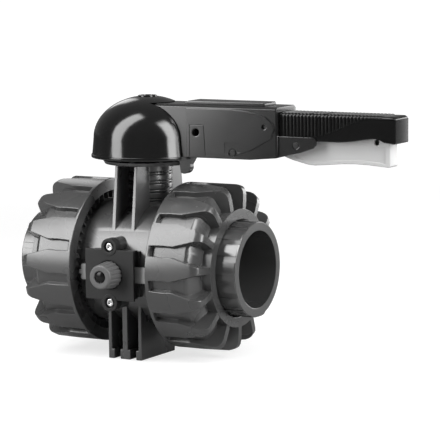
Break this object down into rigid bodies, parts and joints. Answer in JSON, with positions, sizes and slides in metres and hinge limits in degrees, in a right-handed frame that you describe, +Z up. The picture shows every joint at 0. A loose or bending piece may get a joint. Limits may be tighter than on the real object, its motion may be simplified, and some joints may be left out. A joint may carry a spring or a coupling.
{
  "type": "pvc ball valve",
  "caption": "True union ball valve with lobed union nuts, glue sockets, ribbed foot, nut lock and a long lever handle with a squeeze trigger and latch.",
  "frame": {"origin": "middle of the base's underside, halfway between the two threaded inserts and under the stem axis", "axes": "+X along the pipe towards the lever's end, +Y away from the nut lock, +Z up along the stem"},
  "size_m": [0.3948, 0.175, 0.2549],
  "materials": {
    "pvc_body": "satin dark grey PVC",
    "pvc_nut": "satin dark grey PVC",
    "dark_plastic": "satin",
    "black_plastic": "satin",
    "gloss_black": "glossy moulded",
    "grip_plastic": "satin, ribbed",
    "white_plastic": "satin white",
    "light_plastic": "satin light grey",
    "stainless": "turned",
    "brass_insert": "turned",
    "ptfe": "waxy white",
    "seal_rubber": "black rubber"
  },
  "bodies": {
    "housing": {"valve_body": "pvc_body", "base_inserts": "brass_insert", "ball_seat_left": "ptfe", "ball_seat_right": "ptfe", "seat_seal_left": "seal_rubber", "seat_seal_right": "seal_rubber", "seat_carrier": "pvc_body", "carrier_seal": "seal_rubber", "face_seal_left": "seal_rubber", "face_seal_right": "seal_rubber", "lock_housing": "dark_plastic", "lock_screws": "stainless"},
    "connector_left": {"end_connector_left": "pvc_body"},
    "connector_right": {"end_connector_right": "pvc_body"},
    "nut_left": {"union_nut_left": "pvc_nut"},
    "nut_right": {"union_nut_right": "pvc_nut"},
    "knob": {"lock_knob": "light_plastic", "lock_knob_cap": "dark_plastic"},
    "pawl_left": {"lock_pawl_left": "light_plastic"},
    "pawl_right": {"lock_pawl_right": "light_plastic"},
    "lever": {"ball": "pvc_body", "stem": "pvc_body", "stem_seal_lower": "seal_rubber", "stem_seal_upper": "seal_rubber", "lever_arm": "black_plastic", "hub_screw": "stainless", "hub_washer": "stainless", "lever_hood": "gloss_black", "hood_plug": "black_plastic", "arm_top_plate": "black_plastic", "lever_grip": "grip_plastic", "grip_screws": "stainless", "trigger_pin": "dark_plastic", "latch_pin": "dark_plastic", "latch_spring": "stainless"},
    "trigger": {"trigger": "white_plastic"},
    "latch": {"latch_lever": "black_plastic"}
  },
  "joints": [
    {"name": "lever_turn", "type": "hinge", "parent": "housing", "child": "lever", "pos_m": [0, 0, 0.2], "axis": [0, 0, 1], "range_deg": [-90, 0]},
    {"name": "trigger_pull", "type": "hinge", "parent": "lever", "child": "trigger", "pos_m": [0.172, 0, 0.2133], "axis": [0, -1, 0], "range_deg": [0, 10], "stiffness_Nm_per_rad": 0.5, "springref_deg": -17.19},
    {"name": "latch_tilt", "type": "hinge", "parent": "lever", "child": "latch", "pos_m": [0.107, 0, 0.204], "axis": [0, 1, 0], "range_deg": [0, 5.01], "deforming": ["latch_spring"]},
    {"name": "lock_turn", "type": "hinge", "parent": "housing", "child": "knob", "pos_m": [0, -0.085, 0.087], "axis": [0, 1, 0], "range_deg": [0, 90]},
    {"name": "pawl_left_slide", "type": "slide", "parent": "housing", "child": "pawl_left", "axis": [-1, 0, 0], "range_m": [0, 0.004]},
    {"name": "pawl_right_slide", "type": "slide", "parent": "housing", "child": "pawl_right", "axis": [1, 0, 0], "range_m": [0, 0.004]},
    {"name": "union_left_slide", "type": "slide", "parent": "housing", "child": "connector_left", "axis": [-1, 0, 0], "range_m": [0, 0.012]},
    {"name": "union_right_slide", "type": "slide", "parent": "housing", "child": "connector_right", "axis": [1, 0, 0], "range_m": [0, 0.012]},
    {"name": "nut_left_turn", "type": "hinge", "parent": "connector_left", "child": "nut_left", "pos_m": [-0.07, 0, 0.09], "axis": [-1, 0, 0], "range_deg": [0, 1081]},
    {"name": "nut_right_turn", "type": "hinge", "parent": "connector_right", "child": "nut_right", "pos_m": [0.07, 0, 0.09], "axis": [1, 0, 0], "range_deg": [0, 1081]}
  ],
  "couplings": [
    {"joint": "latch_tilt", "follows": "trigger_pull", "ratio": 0.5},
    {"joint": "pawl_left_slide", "follows": "lock_turn", "m_per_rad": 0.00254},
    {"joint": "pawl_right_slide", "follows": "lock_turn", "m_per_rad": 0.00254},
    {"joint": "nut_left_turn", "follows": "union_left_slide", "rad_per_m": 1570.8},
    {"joint": "nut_right_turn", "follows": "union_right_slide", "rad_per_m": 1570.8}
  ]
}
